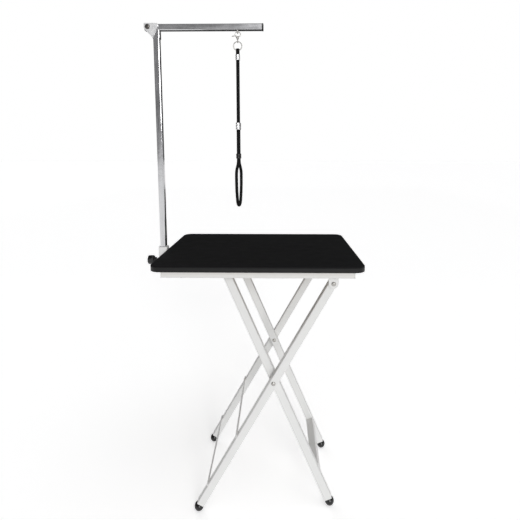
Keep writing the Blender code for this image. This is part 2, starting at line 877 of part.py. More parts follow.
# The noose: a cord from the ring to a ferrule, and a loop that comes out of the ferrule
def make_noose():
    axis = empty("noose_axis", ROOT, (NOOSE_X, 0, 0), (0, 0, NOOSE_TURN))
    cord_top = RING_Z - RING_RADIUS - RING_WIRE - GAP
    cord_bottom = CORD_JOIN_Z + GAP
    count = 14
    cord = [(0, 0, cord_top + (cord_bottom - cord_top) * i / count) for i in range(count + 1)]
    wire("noose_cord", cord, CORD_RADIUS, axis, CORD)

    half = [Vector((x, 0.0, z)) for x, z in LOOP_ROUTE]
    other = [Vector((-p.x, 0.0, p.z)) for p in reversed(half[:-1])]
    loop = smooth_route([*half, *other], 0.0095)
    wire("noose_loop", loop, LOOP_RADIUS, axis, CORD)

    bore = CORD_RADIUS + CORD_PLAY
    for name, (low, high), apart in (
        ("upper_ferrule", UPPER_FERRULE, 0.0008),
        ("lower_ferrule", LOWER_FERRULE, LOOP_APART),
    ):
        outlines = (stadium(bore + FERRULE_WALL, apart, 8), stadium(bore, apart, 8))
        prism(name, outlines, high - low, axis, SILVER, (0, 0, (low + high) / 2))
    low, high = SLIDER
    slider = empty("slider_axis", axis, (0, 0, (low + high) / 2))
    outlines = (stadium(*SLIDER_OUTLINE, 8), stadium(LOOP_RADIUS + CORD_PLAY, LOOP_APART, 8))
    prism("noose_slider", outlines, high - low, slider, BLACK)


def smooth_round_pieces():
    """Shades every piece smooth, with its corners kept sharp."""
    for obj in PARTS.objects:
        if obj.type == "MESH":
            obj.data.shade_smooth()
            obj.data.set_sharp_from_angle(angle=radians(35))


make_top()
make_under_frame()
make_brackets()
make_outer_legs()
make_inner_legs()
make_pivots()
make_socket()
make_clamp()
make_post()
make_arm()
make_swivel(make_hook())
make_noose()
smooth_round_pieces()
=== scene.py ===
"""The looks of the folding grooming table: its materials, finer pieces, light and camera.

Metres, in the row frame. Places come from the frame's boxes and from the design's own dimensions.
"""

import json
from math import acos, ceil, cos, pi, radians, sin

import bpy
from mathutils import Matrix, Vector


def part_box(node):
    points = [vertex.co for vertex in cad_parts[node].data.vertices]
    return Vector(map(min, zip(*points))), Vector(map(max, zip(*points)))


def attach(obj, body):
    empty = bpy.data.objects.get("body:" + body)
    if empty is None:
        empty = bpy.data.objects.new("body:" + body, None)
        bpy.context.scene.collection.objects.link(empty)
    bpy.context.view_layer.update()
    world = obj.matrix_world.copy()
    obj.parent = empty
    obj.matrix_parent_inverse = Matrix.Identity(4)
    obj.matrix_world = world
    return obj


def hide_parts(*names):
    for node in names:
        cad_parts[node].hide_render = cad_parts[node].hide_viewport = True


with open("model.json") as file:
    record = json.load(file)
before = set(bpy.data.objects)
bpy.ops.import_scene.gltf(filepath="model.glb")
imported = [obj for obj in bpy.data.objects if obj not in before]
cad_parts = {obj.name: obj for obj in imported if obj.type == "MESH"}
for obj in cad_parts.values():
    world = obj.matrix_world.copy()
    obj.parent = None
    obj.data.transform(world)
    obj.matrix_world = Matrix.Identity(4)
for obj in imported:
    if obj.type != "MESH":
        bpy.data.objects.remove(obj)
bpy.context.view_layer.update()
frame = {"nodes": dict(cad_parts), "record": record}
NODES = frame["nodes"]


def middle(node):
    low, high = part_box(node)
    return (Vector(low) + Vector(high)) / 2


# Places and sizes in the design, most of them shared with the frame's pieces
TOP_X = middle("top_mat").x
HINGE = Vector((TOP_X + 0.2224, 0.0, 0.7593))
CROSS = Vector((TOP_X + 0.0455, 0.0, 0.4428))
OUTER_FOOT = Vector((TOP_X - 0.1930, 0.0, 0.0150))
INNER_FOOT = Vector((TOP_X + 0.2281, 0.0, 0.0150))
OUTER_Y = middle("outer_leg_back").y
INNER_Y = middle("inner_leg_back").y
LEG_SIDE = 0.025
FOOT_RADIUS = 0.0150
STRAP_PLACES = (0.575, 0.765)
BRACE_PLACE = 0.354
MAT_CORNER = 0.030
STRAP_WELDS_APART = 0.0112
NOOSE = middle("noose_cord")
STAPLE_WIRE = 0.0015
STAPLE_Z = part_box("noose_staple")[0][2] + STAPLE_WIRE
BOW = (0.0097, 0.0073)
HOOK_WIRE = 0.0013
GATE_PIVOT = Vector((NOOSE.x - 0.0050, 0.0, STAPLE_Z - 0.0098))
NOOSE_TURN = radians(81.5)
RING = middle("noose_ring")
RING_RADIUS = 0.01325
RING_WIRE = 0.0015
CORD_RADIUS = 0.0056
LOOP_RADIUS = 0.0050
LOOP_APART = 0.0052
FERRULE_RADIUS = 0.0070
UPPER_FERRULE_APART = 0.0008
SLIDER_OUTLINE = (0.0072, 0.0054)
HOOK_NECK = 0.0042
LOOP_ROUTE = (
    (LOOP_APART, 1.2270),
    (LOOP_APART, 1.1900),
    (LOOP_APART, 1.1500),
    (LOOP_APART, 1.1320),
    (LOOP_APART, 1.1200),
    (0.0073, 1.1105),
    (0.0126, 1.1022),
    (0.0188, 1.0959),
    (0.0248, 1.0898),
    (0.0294, 1.0828),
    (0.0316, 1.0740),
    (0.0319, 1.0600),
    (0.0313, 1.0400),
    (0.0294, 1.0215),
    (0.0257, 1.0035),
    (0.0216, 0.9880),
    (0.0185, 0.9806),
    (0.0134, 0.9750),
    (0.0070, 0.9714),
    (0.0, 0.9702),
)


# Camera and light
def make_camera():
    """The photograph's view, from in front of the top and a little above it."""
    data = bpy.data.cameras.new("camera")
    data.lens = 27.29
    data.shift_x = -0.0222
    data.shift_y = -0.1117
    camera = bpy.data.objects.new("camera", data)
    camera.location = (TOP_X + 0.0573, -1.2917, 1.1386)
    tilt_down = 6.96
    turn_left = 0.0154
    camera.rotation_euler = (radians(90 - tilt_down), 0.0, turn_left)
    bpy.context.scene.collection.objects.link(camera)
    bpy.context.scene.camera = camera


def direction_of(place):
    """The turn that points a lamp from place to the middle of the object."""
    aim = Vector((0.0, 0.0, 0.8))
    return (aim - Vector(place)).to_track_quat("-Z", "Y").to_euler()


def sun(name, place, strength, spread, glossy=True):
    """A soft sun, spread over an angle in degrees. Without glossy, it shows in no reflection."""
    data = bpy.data.lights.new(name, "SUN")
    data.energy = strength
    data.angle = radians(spread)
    lamp = bpy.data.objects.new(name, data)
    lamp.location = place
    lamp.rotation_euler = direction_of(place)
    lamp.visible_glossy = glossy
    bpy.context.scene.collection.objects.link(lamp)


def make_lamps():
    """A broad key from the front right, a weak light from above and a fill from behind."""
    sun("key", (0.9, -3.2, 1.75), 1.24, 24)
    sun("top", (0.9, -0.6, 4.0), 0.35, 40)
    sun("back_fill", (-1.8, 3.0, 1.2), 1.5, 70, glossy=False)


# The studio's light and dark bands, as (place from its dark side to its bright side, level)
STUDIO_BANDS = (
    (0.0, 0.05),
    (0.35, 0.12),
    (0.60, 0.34),
    (0.70, 0.46),
    (0.742, 0.20),
    (0.752, 0.48),
    (0.762, 0.16),
    (0.780, 0.26),
    (0.792, 0.52),
    (0.802, 0.36),
    (0.820, 1.0),
    (0.85, 0.42),
    (0.92, 0.75),
)


def make_studio():
    """A world that is bright in front, dark behind and banded between, and white to the camera."""
    world = bpy.data.worlds.new("studio")
    world.use_nodes = True
    tree = world.node_tree
    tree.nodes.clear()
    place = tree.nodes.new("ShaderNodeTexCoord")
    facing = tree.nodes.new("ShaderNodeVectorMath")
    facing.operation = "DOT_PRODUCT"
    bright_side = (0.55, -0.78, -0.30)
    facing.inputs[1].default_value = bright_side
    tree.links.new(place.outputs["Generated"], facing.inputs[0])
    spread = between(tree, facing.outputs["Value"], 0.0, 1.0, start=-1.0, end=1.0)
    bands = tree.nodes.new("ShaderNodeValToRGB")
    ramp = bands.color_ramp
    for number, (where, level) in enumerate(STUDIO_BANDS):
        stop = ramp.elements[number] if number < 2 else ramp.elements.new(where)
        stop.position = where
        stop.color = (level, level, level * 1.01, 1.0)
    tree.links.new(spread, bands.inputs["Fac"])
    studio = tree.nodes.new("ShaderNodeBackground")
    studio.inputs["Strength"].default_value = 1.15
    tree.links.new(bands.outputs["Color"], studio.inputs["Color"])
    white = tree.nodes.new("ShaderNodeBackground")
    white.inputs["Color"].default_value = (1.0, 1.0, 1.0, 1.0)
    ray = tree.nodes.new("ShaderNodeLightPath")
    mix = tree.nodes.new("ShaderNodeMixShader")
    tree.links.new(ray.outputs["Is Camera Ray"], mix.inputs["Fac"])
    tree.links.new(studio.outputs["Background"], mix.inputs[1])
    tree.links.new(white.outputs["Background"], mix.inputs[2])
    out = tree.nodes.new("ShaderNodeOutputWorld")
    tree.links.new(mix.outputs["Shader"], out.inputs["Surface"])
    bpy.context.scene.world = world
    bpy.context.scene.view_settings.view_transform = "Standard"


def sheet(name, half, near, far, height):
    """A level rectangle, half wide to each side, from near to far along Y."""
    mesh = bpy.data.meshes.new(name)
    outline = ((-half, near), (half, near), (half, far), (-half, far))
    corners = [(x, y, height) for x, y in outline]
    mesh.from_pydata(corners, [], [(0, 1, 2, 3)])
    made = bpy.data.objects.new(name, mesh)
    bpy.context.scene.collection.objects.link(made)
    return made


def make_floor():
    """White paper that glows a little and gives the object no diffuse light back."""
    floor = sheet("floor", 60.0, -60.0, 60.0, 0.0)
    made, tree, shader = new_material("floor_paper", (0.92, 0.92, 0.92), 0.9)
    grain = noise(tree, spot(tree), 30, 4)
    paint(tree, shader, grain, (0.90, 0.90, 0.90), (0.94, 0.94, 0.94))
    shader.inputs["Emission Color"].default_value = (1.0, 1.0, 1.0, 1.0)
    shader.inputs["Emission Strength"].default_value = 0.50
    floor.data.materials.append(made)
    floor.visible_diffuse = False


def make_flag():
    """A black card low behind the object, out of the camera's sight, for the plating to reflect."""
    flag = sheet("flag", 5.0, 2.2, 12.0, 0.05)
    made, tree, shader = new_material("flag_card", (0.01, 0.01, 0.01), 0.9)
    roughen(tree, shader, noise(tree, spot(tree), 50, 2), 0.8, 1.0)
    flag.data.materials.append(made)
    flag.visible_camera = False
    flag.visible_diffuse = False
    flag.visible_shadow = False


# Material building blocks
def new_material(name, colour, roughness, metallic=0.0):
    made = bpy.data.materials.new(name)
    made.use_nodes = True
    tree = made.node_tree
    shader = tree.nodes["Principled BSDF"]
    shader.inputs["Base Color"].default_value = (*colour, 1.0)
    shader.inputs["Roughness"].default_value = roughness
    shader.inputs["Metallic"].default_value = metallic
    return made, tree, shader


def spot(tree, scale=(1.0, 1.0, 1.0)):
    """The place on the object, stretched by scale."""
    place = tree.nodes.new("ShaderNodeTexCoord")
    mapping = tree.nodes.new("ShaderNodeMapping")
    mapping.inputs["Scale"].default_value = scale
    tree.links.new(place.outputs["Object"], mapping.inputs["Vector"])
    return mapping.outputs["Vector"]


def noise(tree, vector, scale, detail):
    node = tree.nodes.new("ShaderNodeTexNoise")
    node.inputs["Scale"].default_value = scale
    node.inputs["Detail"].default_value = detail
    tree.links.new(vector, node.inputs["Vector"])
    return node.outputs["Fac"]


def cells(tree, vector, scale):
    """Rounded cells, for pebbled rubber."""
    node = tree.nodes.new("ShaderNodeTexVoronoi")
    node.inputs["Scale"].default_value = scale
    tree.links.new(vector, node.inputs["Vector"])
    return node.outputs["Distance"]


def waves(tree, vector, scale, distortion, direction):
    """Straight bands across a direction, bent by distortion."""
    node = tree.nodes.new("ShaderNodeTexWave")
    node.bands_direction = direction
    node.inputs["Scale"].default_value = scale
    node.inputs["Distortion"].default_value = distortion
    tree.links.new(vector, node.inputs["Vector"])
    return node.outputs["Fac"]


def between(tree, value, low, high, start=0.3, end=0.7):
    """The value's range from start to end, spread from low to high."""
    node = tree.nodes.new("ShaderNodeMapRange")
    node.inputs["From Min"].default_value = start
    node.inputs["From Max"].default_value = end
    node.inputs["To Min"].default_value = low
    node.inputs["To Max"].default_value = high
    tree.links.new(value, node.inputs["Value"])
    return node.outputs["Result"]


def blend_colours(tree, factor, first, second):
    """A mix of two colours, each a tuple or the output of another node."""
    node = tree.nodes.new("ShaderNodeMix")
    node.data_type = "RGBA"
    tree.links.new(factor, node.inputs["Factor"])
    # A Mix node's colour sockets come after those for numbers and vectors
    first_colour, second_colour, blended = node.inputs[6], node.inputs[7], node.outputs[2]
    for socket, colour in ((first_colour, first), (second_colour, second)):
        if isinstance(colour, tuple):
            socket.default_value = (*colour, 1.0)
        else:
            tree.links.new(colour, socket)
    return blended


def paint(tree, shader, factor, first, second):
    """The shader's colour, from first to second, after a factor."""
    colour = blend_colours(tree, factor, first, second)
    tree.links.new(colour, shader.inputs["Base Color"])


def roughen(tree, shader, factor, low, high):
    """The shader's roughness, from low to high, after a factor."""
    tree.links.new(between(tree, factor, low, high), shader.inputs["Roughness"])


def relief(tree, shader, *layers):
    """Bump layers of (height, strength, depth in metres), one on another."""
    normal = None
    for height, strength, depth in layers:
        node = tree.nodes.new("ShaderNodeBump")
        node.inputs["Strength"].default_value = strength
        node.inputs["Distance"].default_value = depth
        tree.links.new(height, node.inputs["Height"])
        if normal:
            tree.links.new(normal, node.inputs["Normal"])
        normal = node.outputs["Normal"]
    tree.links.new(normal, shader.inputs["Normal"])


# The materials, one function each
def powder_coat():
    made, tree, shader = new_material("white_powder_coat", (0.82, 0.82, 0.80), 0.4)
    place = spot(tree)
    tone = blend_colours(tree, noise(tree, place, 7, 4), (0.80, 0.80, 0.785), (0.84, 0.84, 0.828))
    chips = between(tree, noise(tree, place, 90, 6), 0.0, 0.5, start=0.74, end=0.80)
    paint(tree, shader, chips, tone, (0.62, 0.61, 0.59))
    roughen(tree, shader, noise(tree, place, 45, 4), 0.30, 0.46)
    shader.inputs["Coat Weight"].default_value = 0.12
    shader.inputs["Coat Roughness"].default_value = 0.25
    peel = noise(tree, place, 620, 2)
    grit = noise(tree, place, 2400, 2)
    relief(tree, shader, (peel, 0.06, 0.0002), (grit, 0.04, 0.0001))
    return made


def rubber():
    made, tree, shader = new_material("mat_rubber", (0.02, 0.02, 0.022), 0.7)
    place = spot(tree)
    wear = noise(tree, place, 9, 6)
    tone = blend_colours(tree, wear, (0.0055, 0.0055, 0.006), (0.0085, 0.0085, 0.009))
    dust = between(tree, noise(tree, place, 70, 8), 0.0, 0.25, start=0.58, end=0.8)
    paint(tree, shader, dust, tone, (0.020, 0.020, 0.019))
    roughen(tree, shader, noise(tree, place, 30, 5), 0.70, 0.78)
    shader.inputs["Specular IOR Level"].default_value = 0.16
    pebble = cells(tree, place, 420)
    grit = noise(tree, place, 1600, 3)
    relief(tree, shader, (pebble, 0.55, 0.0005), (grit, 0.2, 0.0002))
    return made


def edge_pvc():
    made, tree, shader = new_material("edge_pvc", (0.018, 0.018, 0.018), 0.45)
    place = spot(tree)
    paint(tree, shader, noise(tree, place, 40, 5), (0.004, 0.004, 0.004), (0.009, 0.009, 0.009))
    roughen(tree, shader, noise(tree, place, 90, 4), 0.36, 0.55)
    shader.inputs["Specular IOR Level"].default_value = 0.25
    ribs = waves(tree, place, 300, 0.4, "Z")
    grit = noise(tree, place, 900, 2)
    relief(tree, shader, (ribs, 0.3, 0.0002), (grit, 0.12, 0.0001))
    return made


def plywood():
    made, tree, shader = new_material("plywood", (0.55, 0.40, 0.24), 0.6)
    grain = noise(tree, spot(tree, (3.0, 60.0, 200.0)), 4, 8)
    figure = waves(tree, spot(tree, (1.0, 9.0, 40.0)), 2.2, 5.0, "Y")
    tone = blend_colours(tree, figure, (0.60, 0.44, 0.27), (0.47, 0.33, 0.19))
    paint(tree, shader, between(tree, grain, 0.0, 0.7), tone, (0.36, 0.24, 0.13))
    roughen(tree, shader, grain, 0.5, 0.7)
    relief(tree, shader, (grain, 0.3, 0.0003))
    return made


def chrome(name, grain):
    """Plated tube, drawn along the direction that grain stretches; its colour holds painted
    reflection streaks along the same direction.
    """
    made, tree, shader = new_material(name, (0.56, 0.56, 0.57), 0.1, 1.0)
    place = spot(tree)
    # This noise gives the drawn marks in the relief, and through lines it also gives painted
    # reflection streaks in the colour.
    drawn = noise(tree, spot(tree, grain), 55, 2)
    lines = between(tree, drawn, 0.0, 1.0)
    # Painted reflection: the base colour runs in dark and light streaks that stand in for the
    # surroundings seen in the plating.
    paint(tree, shader, lines, (0.44, 0.44, 0.45), (0.68, 0.68, 0.69))
    roughen(tree, shader, noise(tree, place, 35, 6), 0.08, 0.17)
    swell = noise(tree, place, 26, 2)
    relief(tree, shader, (drawn, 0.4, 0.0018), (swell, 0.25, 0.0016))
    return made


def brushed_plating():
    made, tree, shader = new_material("brushed_plating", (0.80, 0.80, 0.80), 0.34, 1.0)
    lines = noise(tree, spot(tree, (0.1, 1.0, 1.0)), 700, 3)
    paint(tree, shader, lines, (0.72, 0.72, 0.73), (0.90, 0.90, 0.90))
    roughen(tree, shader, lines, 0.28, 0.44)
    relief(tree, shader, (lines, 0.15, 0.0002))
    return made


def plated_steel(name, dark, light):
    made, tree, shader = new_material(name, light, 0.3, 1.0)
    place = spot(tree)
    paint(tree, shader, noise(tree, place, 160, 4), dark, light)
    roughen(tree, shader, noise(tree, place, 260, 4), 0.2, 0.42)
    grit = noise(tree, place, 1500, 3)
    relief(tree, shader, (grit, 0.15, 0.0001))
    return made


def aluminium():
    made, tree, shader = new_material("ferrule_aluminium", (0.78, 0.78, 0.79), 0.28, 1.0)
    turned_lines = noise(tree, spot(tree, (1.0, 1.0, 30.0)), 120, 3)
    paint(tree, shader, turned_lines, (0.70, 0.70, 0.71), (0.84, 0.84, 0.85))
    roughen(tree, shader, turned_lines, 0.2, 0.38)
    relief(tree, shader, (turned_lines, 0.12, 0.0001))
    return made


def black_plastic():
    made, tree, shader = new_material("black_plastic", (0.015, 0.015, 0.015), 0.3)
    place = spot(tree)
    marks = noise(tree, spot(tree, (1.0, 1.0, 4.0)), 260, 6)
    scuffs = between(tree, marks, 0.0, 0.4, start=0.6, end=0.8)
    paint(tree, shader, scuffs, (0.004, 0.004, 0.004), (0.016, 0.016, 0.016))
    roughen(tree, shader, noise(tree, place, 120, 5), 0.10, 0.26)
    grit = noise(tree, place, 1300, 2)
    relief(tree, shader, (grit, 0.12, 0.0001))
    return made


def nylon():
    made, tree, shader = new_material("white_nylon", (0.80, 0.80, 0.77), 0.5)
    place = spot(tree)
    paint(tree, shader, noise(tree, place, 60, 3), (0.76, 0.76, 0.72), (0.84, 0.84, 0.82))
    roughen(tree, shader, noise(tree, place, 200, 3), 0.42, 0.58)
    shader.inputs["Subsurface Weight"].default_value = 0.1
    grit = noise(tree, place, 1100, 2)
    relief(tree, shader, (grit, 0.1, 0.0001))
    return made


def cord_nylon():
    made, tree, shader = new_material("black_cord", (0.012, 0.012, 0.012), 0.8)
    place = spot(tree)
    fibres = noise(tree, spot(tree, (1.0, 1.0, 0.3)), 2200, 3)
    paint(tree, shader, fibres, (0.004, 0.004, 0.0042), (0.013, 0.013, 0.0135))
    roughen(tree, shader, noise(tree, place, 300, 3), 0.7, 0.9)
    shader.inputs["Specular IOR Level"].default_value = 0.08
    shader.inputs["Sheen Weight"].default_value = 0.02
    shader.inputs["Sheen Roughness"].default_value = 0.5
    relief(tree, shader, (fibres, 0.5, 0.0002))
    return made


MATERIALS = {
    "white_coat": powder_coat(),
    "mat_rubber": rubber(),
    "edge_pvc": edge_pvc(),
    "plywood": plywood(),
    "chrome": chrome("chrome_post", (1.0, 1.0, 0.05)),
    "zinc_steel": plated_steel("zinc_steel", (0.36, 0.35, 0.33), (0.54, 0.53, 0.51)),
    "ferrule": aluminium(),
    "black_plastic": black_plastic(),
    "white_plastic": nylon(),
    "black_cord": cord_nylon(),
}
ARM_CHROME = chrome("chrome_arm", (0.05, 1.0, 1.0))
DARK_STEEL = plated_steel("dark_steel", (0.07, 0.065, 0.06), (0.16, 0.15, 0.14))
BRUSHED_PLATING = brushed_plating()

# CAD nodes with a finish of their own within their slot
OWN_FINISH = {
    "arm_tube": ARM_CHROME,
    "elbow_bolt": DARK_STEEL,
    "elbow_nut": DARK_STEEL,
    "elbow_plate_near": BRUSHED_PLATING,
    "elbow_plate_far": BRUSHED_PLATING,
}


# Mesh building blocks
def piece(name, points, faces, body, slot, replaced=(), crease=40.0):
    """A mesh that rides on a body and stands for any nodes it replaces. Creases are in degrees."""
    mesh = bpy.data.meshes.new(name)
    mesh.from_pydata([tuple(p) for p in points], [], faces)
    mesh.validate()
    mesh.shade_smooth()
    mesh.set_sharp_from_angle(angle=radians(crease))
    mesh.materials.append(MATERIALS[slot])
    obj = bpy.data.objects.new(name, mesh)
    bpy.context.scene.collection.objects.link(obj)
    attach(obj, body)
    if replaced:
        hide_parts(*replaced)
    return obj


def skin(rings, loop=False, start=0):
    """(points, faces) through rings of the same count, capped at both ends or joined in a loop."""
    sides = len(rings[0])
    points = [p for ring in rings for p in ring]
    faces = []
    pairs = len(rings) if loop else len(rings) - 1
    for row in range(pairs):
        here = row * sides
        there = (row + 1) % len(rings) * sides
        for i in range(sides):
            j = (i + 1) % sides
            faces.append((start + here + i, start + here + j, start + there + j, start + there + i))
    if not loop:
        last = (len(rings) - 1) * sides
        faces.append(tuple(start + i for i in reversed(range(sides))))
        faces.append(tuple(start + last + i for i in range(sides)))
    return points, faces


def skins(groups):
    """The meshes of several groups of (rings, loop) as one (points, faces)."""
    points, faces = [], []
    for rings, loop in groups:
        more, sides = skin(rings, loop, len(points))
        points += more
        faces += sides
    return points, faces


def circle_ring(centre, across, up, radius, sides, shape=None):
    """A ring of points round centre. shape(turn) multiplies the radius there."""
    turns = [2 * pi * i / sides for i in range(sides)]
    ring = []
    for turn in turns:
        size = radius if shape is None else radius * shape(turn)
        ring.append(centre + size * (cos(turn) * across + sin(turn) * up))
    return ring


def turned_rings(profile, place, axis, sides):
    """Rings of a turned shape: (radius, distance along axis), from its start to its end."""
    axis = axis.normalized()
    across = axis.orthogonal().normalized()
    up = axis.cross(across)
    return [
        circle_ring(place + along * axis, across, up, radius, sides)
        for radius, along in profile
    ]


def tube_rings(path, radius, sides=16, loop=False, relief_at=None):
    """Rings of a tube along a path, of one radius or a list of them.

    relief_at(distance, turn) is added to the radius there.
    """
    count = len(path)
    rings = []
    across = None
    distance = 0.0
    for i, here in enumerate(path):
        before = path[i - 1] if loop or i else here
        after = path[(i + 1) % count] if loop or i < count - 1 else here
        along = (after - before).normalized()
        if across is None:
            across = along.orthogonal().normalized()
        across = (across - across.dot(along) * along).normalized()
        up = along.cross(across)
        if i:
            distance += (here - path[i - 1]).length
        ring = []
        for k in range(sides):
            turn = 2 * pi * k / sides
            size = radius[i] if isinstance(radius, list) else radius
            if relief_at:
                size += relief_at(distance, turn)
            ring.append(here + size * (cos(turn) * across + sin(turn) * up))
        rings.append(ring)
    return rings


def smooth_route(route, step):
    """Points about step apart on the Catmull-Rom curve through a route."""
    ends = [2 * route[0] - route[1], *route, 2 * route[-1] - route[-2]]
    points = []
    for before, here, there, after in zip(ends, ends[1:], ends[2:], ends[3:]):
        count = max(1, ceil((there - here).length / step))
        for i in range(count):
            t = i / count
            points.append(
                0.5
                * (
                    2 * here
                    + (there - before) * t
                    + (2 * before - 5 * here + 4 * there - after) * t**2
                    + (3 * here - before - 3 * there + after) * t**3
                )
            )
    return [*points, route[-1]]


def rounded_rectangle(wide, high, radius, steps):
    """The outline of a rectangle with round corners, about its middle."""
    points = []
    for quarter, (side_x, side_y) in enumerate(((1, 1), (-1, 1), (-1, -1), (1, -1))):
        for step in range(steps + 1):
            turn = (quarter + step / steps) * pi / 2
            x = side_x * (wide / 2 - radius) + radius * cos(turn)
            y = side_y * (high / 2 - radius) + radius * sin(turn)
            points.append((x, y))
    return points


def stadium(radius, apart, steps):
    """The outline round two circles, each apart to one side of the middle."""
    points = []
    for side in (1, -1):
        for step in range(steps + 1):
            turn = (step / steps - 0.5) * pi + (0 if side > 0 else pi)
            points.append((side * apart + radius * cos(turn), radius * sin(turn)))
    return points


def noose_place(x, y, z):
    """A place in the noose's own turned plane, in the row frame."""
    return Vector((NOOSE.x, 0, z)) + Matrix.Rotation(NOOSE_TURN, 3, "Z") @ Vector((x, y, 0))


# The pieces
def dress_frame():
    """The CAD nodes in their slots' materials, or in a finish of their own."""
    for entry in frame["record"]["subparts"]:
        obj = NODES[entry["node"]]
        made = OWN_FINISH.get(entry["node"], MATERIALS[entry["material_slot"]])
        if not obj.material_slots:
            obj.data.materials.append(made)
        for slot in obj.material_slots:
            slot.material = made


def make_mat():
    """The mat, with a round rim."""
    low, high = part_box("top_mat")
    centre = (Vector(low) + Vector(high)) / 2
    wide, deep = high[0] - low[0], high[1] - low[1]
    rim = 0.0034
    chamfer = 0.0003
    rim_steps = 8
    corner_steps = 16
    flat_inset = 0.012
    rings = []

    def level(inset, z):
        outline = rounded_rectangle(
            wide - 2 * inset, deep - 2 * inset, MAT_CORNER - inset, corner_steps
        )
        rings.append([Vector((centre.x + x, y, z)) for x, y in outline])

    level(chamfer, low[2])
    level(0.0, low[2] + chamfer)
    for i in range(rim_steps + 1):
        turn = pi / 2 * i / rim_steps
        level(rim * (1 - cos(turn)), high[2] - rim + rim * sin(turn))
    level(flat_inset, high[2])
    points, faces = skin(rings)
    piece("table_mat", points, faces, "table_top", "mat_rubber", ("top_mat",))


def make_feet():
    """Moulded feet: a plug, a collar against the tube, a neck groove and a ball."""
    plug, collar = 0.0098, 0.0122
    collar_top, neck_top = 0.0132, 0.0096
    ball_steps = 18
    tip_left_open = 0.02
    start = acos(neck_top / FOOT_RADIUS)
    sweep = pi - start - tip_left_open
    turns = [start + sweep * i / ball_steps for i in range(ball_steps + 1)]
    ball = [(FOOT_RADIUS * sin(t), -FOOT_RADIUS * cos(t)) for t in turns]
    # Radius, and distance from the ball's middle towards the floor
    profile = [
        (plug, -0.030),
        (plug, -collar_top),
        (collar - 0.0004, -collar_top),
        (collar, -collar_top + 0.0004),
        (collar, -0.0116),
        (collar - 0.0004, -0.0113),
        (collar - 0.0008, -0.0107),
        *ball,
    ]
    for which, foot, top, y in (
        ("outer", OUTER_FOOT, HINGE, OUTER_Y),
        ("inner", INNER_FOOT, CROSS, INNER_Y),
    ):
        for side, where in ((-1, "front"), (1, "back")):
            place = foot + Vector((0, side * y, 0))
            points, faces = skin(turned_rings(profile, place, foot - top, 48))
            name = f"{which}_foot_{where}"
            piece(f"moulded_{name}", points, faces, f"{which}_frame", "black_plastic", (name,))


def make_knob():
    """A lobed knob with a dished end, along X."""
    low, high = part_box("clamp_knob")
    hub_face = Vector((high[0], 0, middle("clamp_knob").z))
    long = high[0] - low[0]
    radius = 0.0160
    lobes = 7
    lobe_depth = 0.085
    axis, across, up = Vector((-1, 0, 0)), Vector((0, 1, 0)), Vector((0, 0, 1))
    # Radius, distance from the hub's face, and the lobes' share of their full depth
    profile = [
        (0.0085, 0.0, 0),
        (0.0090, 0.0060, 0),
        (0.0120, 0.0072, 0.3),
        (0.0142, 0.0086, 0.8),
        (0.0155, 0.0102, 1),
        (radius, 0.0125, 1),
        (radius, long - 0.0055, 1),
        (0.0156, long - 0.0028, 1),
        (0.0143, long - 0.0008, 0.9),
        (0.0118, long, 0.6),
        (0.0092, long, 0.2),
        (0.0080, long - 0.0012, 0),
        (0.0030, long - 0.0016, 0),
    ]

    def lobed(share):
        return lambda turn: 1 - lobe_depth * share * (0.5 - 0.5 * cos(lobes * turn)) ** 0.7

    rings = [
        circle_ring(hub_face + along * axis, across, up, size, 84, lobed(share))
        for size, along, share in profile
    ]
    points, faces = skin([list(reversed(ring)) for ring in rings])
    piece("lobed_knob", points, faces, "clamp", "black_plastic", ("clamp_knob",))


def make_clamp_screw():
    """The clamp's screw, its thread drawn as rings."""
    low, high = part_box("clamp_screw")
    place = Vector((high[0], 0, middle("clamp_screw").z))
    long = high[0] - low[0]
    pitch = 0.00125
    crest, root, plain = 0.0040, 0.0034, 0.0038
    lead_in = 0.0010
    profile = [(0.0030, 0.0), (plain, 0.0008)]
    for i in range(int((long - 2 * lead_in) / pitch)):
        profile += [(crest, lead_in + i * pitch), (root, lead_in + (i + 0.5) * pitch)]
    profile += [(plain, long - 0.0003), (plain, long)]
    points, faces = skin(turned_rings(profile, place, Vector((-1, 0, 0)), 24))
    piece("threaded_screw", points, faces, "clamp", "zinc_steel", ("clamp_screw",), crease=20.0)


def make_hook():
    """The snap hook's casting: its bow, neck and lug. Returns the bow's open end."""
    bow_wide, bow_high = BOW
    over_staple = 0.0031
    mid = STAPLE_Z + over_staple - bow_high
    steps = 60
    start, sweep = 142, 264
    turns = [radians(start - sweep * i / steps) for i in range(steps + 1)]
    bow = [Vector((NOOSE.x + bow_wide * cos(t), 0, mid + bow_high * sin(t))) for t in turns]
    nose_share = 0.72
    taper = 10
    sizes = [
        HOOK_WIRE * (nose_share + (1 - nose_share) * min(1, i / taper)) for i in range(steps + 1)
    ]
    into_bow = 0.0012
    neck_top = mid - bow_high + into_bow
    neck = [
        (HOOK_NECK - 0.0020, 0.0),
        (HOOK_NECK - 0.0007, 0.0006),
        (HOOK_NECK - 0.0001, 0.0016),
        (HOOK_NECK - 0.0001, 0.0024),
        (HOOK_NECK - 0.0008, 0.0030),
        (HOOK_NECK - 0.0008, 0.0034),
        (HOOK_NECK, 0.0039),
        (HOOK_NECK, 0.0048),
        (HOOK_NECK - 0.0006, 0.0052),
    ]
    lug_place = GATE_PIVOT - Vector((0, 0.0018, 0))
    lug = [(0.0019, 0.0), (0.0024, 0.0004), (0.0024, 0.0032), (0.0019, 0.0036)]
    groups = [
        (tube_rings(bow, sizes), False),
        (turned_rings(neck, Vector((NOOSE.x, 0, neck_top)), Vector((0, 0, -1)), 28), False),
        (turned_rings(lug, lug_place, Vector((0, 1, 0)), 24), False),
    ]
    points, faces = skins(groups)
    piece("hook_casting", points, faces, "hook", "zinc_steel", ("snap_hook",))
    return bow[0]


